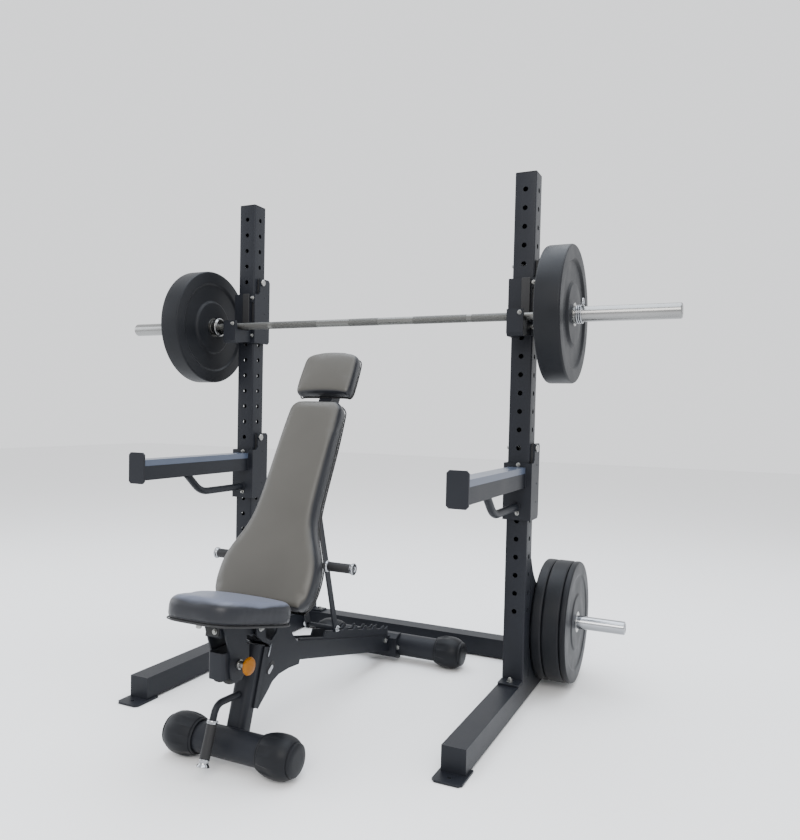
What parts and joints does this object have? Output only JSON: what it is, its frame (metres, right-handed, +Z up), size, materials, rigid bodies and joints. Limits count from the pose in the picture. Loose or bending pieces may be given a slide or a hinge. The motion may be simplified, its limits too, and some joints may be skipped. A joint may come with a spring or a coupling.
{
  "type": "olympic bench press",
  "caption": "Half rack with bar hooks, spotter arms, a loaded Olympic barbell, stored bumper plates and an adjustable incline bench.",
  "frame": {"origin": "middle of the whole footprint on the floor", "axes": "+Z up, +X along the barbell to the right-hand sleeve seen from the seat end, +Y from the seat towards the uprights"},
  "size_m": [2.2, 1.5073, 1.848],
  "materials": {
    "powder_coated_steel": "black textured powder coat",
    "black_plastic": "black moulded plastic",
    "grey_plastic": "dark blue-grey protective strip",
    "chrome_steel": "polished chrome plate",
    "satin_sleeve_steel": "satin chrome sleeve",
    "dark_bar_steel": "knurled dark steel shaft",
    "black_rubber": "black moulded rubber",
    "padded_vinyl": "warm grey upholstery vinyl",
    "yellow_plastic": "orange-yellow knob"
  },
  "bodies": {
    "rack": {"upright_left": "powder_coated_steel", "upright_right": "powder_coated_steel", "upright_cap_left": "black_plastic", "upright_cap_right": "black_plastic", "foot_left": "powder_coated_steel", "foot_right": "powder_coated_steel", "rear_cross_member": "powder_coated_steel", "storage_peg": "chrome_steel", "j_hook_left": "powder_coated_steel", "j_hook_right": "powder_coated_steel", "j_hook_liner_left": "black_plastic", "j_hook_liner_right": "black_plastic", "spotter_arm_left": "powder_coated_steel", "spotter_arm_right": "powder_coated_steel", "spotter_liner_left": "black_plastic", "spotter_liner_right": "black_plastic", "spotter_strip_left": "grey_plastic", "spotter_strip_right": "grey_plastic"},
    "j_hook_pin_left_body": {"j_hook_pin_left": "chrome_steel"},
    "j_hook_pin_right_body": {"j_hook_pin_right": "chrome_steel"},
    "spotter_pin_left_body": {"spotter_pin_left": "chrome_steel"},
    "spotter_pin_right_body": {"spotter_pin_right": "chrome_steel"},
    "stored_inner": {"stored_plate_inner": "black_rubber"},
    "stored_middle": {"stored_plate_middle": "black_rubber"},
    "stored_outer": {"stored_plate_outer": "black_rubber"},
    "barbell": {"bar_shaft": "dark_bar_steel"},
    "sleeve_left": {"bar_sleeve_left": "satin_sleeve_steel"},
    "sleeve_right": {"bar_sleeve_right": "satin_sleeve_steel"},
    "bumper_left": {"bar_plate_left": "black_rubber"},
    "bumper_right": {"bar_plate_right": "black_rubber"},
    "collar_left": {"spring_collar_left": "chrome_steel"},
    "collar_right": {"spring_collar_right": "chrome_steel"},
    "bench": {"bench_front_foot": "powder_coated_steel", "bench_rear_foot": "powder_coated_steel", "bench_post": "powder_coated_steel", "bench_spine": "powder_coated_steel", "bench_cheek_left": "powder_coated_steel", "bench_cheek_right": "powder_coated_steel", "bench_front_cap_left": "black_rubber", "bench_front_cap_right": "black_rubber", "bench_rear_cap_left": "black_rubber", "bench_rear_cap_right": "black_rubber", "back_pivot_pin": "chrome_steel", "seat_pivot_pin": "chrome_steel", "front_handle": "chrome_steel", "front_grip": "black_rubber"},
    "back_rest": {"back_tube": "powder_coated_steel", "back_pad": "padded_vinyl", "head_pad": "padded_vinyl", "back_handle": "chrome_steel", "back_grip_left": "black_rubber", "back_grip_right": "black_rubber", "strut_pin": "chrome_steel"},
    "strut_body": {"strut": "powder_coated_steel"},
    "seat": {"seat_frame": "powder_coated_steel", "seat_pad": "padded_vinyl", "pop_pin_housing": "chrome_steel"},
    "pop_pin": {"pop_pin_plunger": "chrome_steel", "pop_pin_knob": "yellow_plastic"}
  },
  "joints": [
    {"name": "j_hook_pin_left_pull", "type": "slide", "parent": "rack", "child": "j_hook_pin_left_body", "axis": [1, 0, 0], "range_m": [0, 0.1]},
    {"name": "j_hook_pin_right_pull", "type": "slide", "parent": "rack", "child": "j_hook_pin_right_body", "axis": [1, 0, 0], "range_m": [0, 0.04]},
    {"name": "spotter_pin_left_pull", "type": "slide", "parent": "rack", "child": "spotter_pin_left_body", "axis": [1, 0, 0], "range_m": [0, 0.1]},
    {"name": "spotter_pin_right_pull", "type": "slide", "parent": "rack", "child": "spotter_pin_right_body", "axis": [1, 0, 0], "range_m": [0, 0.1]},
    {"name": "stored_plate_outer_slide", "type": "slide", "parent": "rack", "child": "stored_outer", "axis": [1, 0, 0], "range_m": [0, 0.17]},
    {"name": "stored_plate_middle_slide", "type": "slide", "parent": "rack", "child": "stored_middle", "axis": [1, 0, 0], "range_m": [0, 0.17]},
    {"name": "stored_plate_inner_slide", "type": "slide", "parent": "rack", "child": "stored_inner", "axis": [1, 0, 0], "range_m": [0, 0.17]},
    {"name": "barbell_lift", "type": "slide", "parent": "rack", "child": "barbell", "axis": [0, 0, 1], "range_m": [0, 0.45]},
    {"name": "sleeve_left_spin", "type": "hinge", "parent": "barbell", "child": "sleeve_left", "pos_m": [-0.655, 0.1743, 1.3454], "axis": [1, 0, 0], "continuous": true},
    {"name": "collar_left_slide", "type": "slide", "parent": "sleeve_left", "child": "collar_left", "axis": [-1, 0, 0], "range_m": [0, 0.29]},
    {"name": "bumper_left_slide", "type": "slide", "parent": "sleeve_left", "child": "bumper_left", "axis": [-1, 0, 0], "range_m": [0, 0.29]},
    {"name": "sleeve_right_spin", "type": "hinge", "parent": "barbell", "child": "sleeve_right", "pos_m": [0.655, 0.1743, 1.3454], "axis": [1, 0, 0], "continuous": true},
    {"name": "collar_right_slide", "type": "slide", "parent": "sleeve_right", "child": "collar_right", "axis": [1, 0, 0], "range_m": [0, 0.29]},
    {"name": "bumper_right_slide", "type": "slide", "parent": "sleeve_right", "child": "bumper_right", "axis": [1, 0, 0], "range_m": [0, 0.29]},
    {"name": "bench_slide", "type": "slide", "parent": "rack", "child": "bench", "axis": [0, 1, 0], "range_m": [-0.5, 0.1]},
    {"name": "back_tilt", "type": "hinge", "parent": "bench", "child": "back_rest", "pos_m": [-0.02, -0.3592, 0.3749], "axis": [1, 0, 0], "range_deg": [-61.5, 8]},
    {"name": "strut_swing", "type": "hinge", "parent": "back_rest", "child": "strut_body", "pos_m": [-0.02, -0.2077, 0.73983], "axis": [1, 0, 0], "range_deg": [-14, 104]},
    {"name": "seat_tilt", "type": "hinge", "parent": "bench", "child": "seat", "pos_m": [-0.02, -0.4801, 0.3727], "axis": [1, 0, 0], "range_deg": [-4, 10.5]},
    {"name": "pop_pin_pull", "type": "slide", "parent": "seat", "child": "pop_pin", "axis": [1, 0, 0], "range_m": [0, 0.012], "stiffness_N_per_m": 800, "springref_m": -0.005}
  ],
  "couplings": [
    {"joint": "stored_plate_middle_slide", "follows": "stored_plate_outer_slide", "ratio": 1},
    {"joint": "stored_plate_inner_slide", "follows": "stored_plate_outer_slide", "ratio": 1},
    {"joint": "strut_swing", "follows": "back_tilt", "ratio": -1.675},
    {"joint": "collar_left_slide", "follows": "bumper_left_slide", "ratio": 1},
    {"joint": "collar_right_slide", "follows": "bumper_right_slide", "ratio": 1}
  ]
}
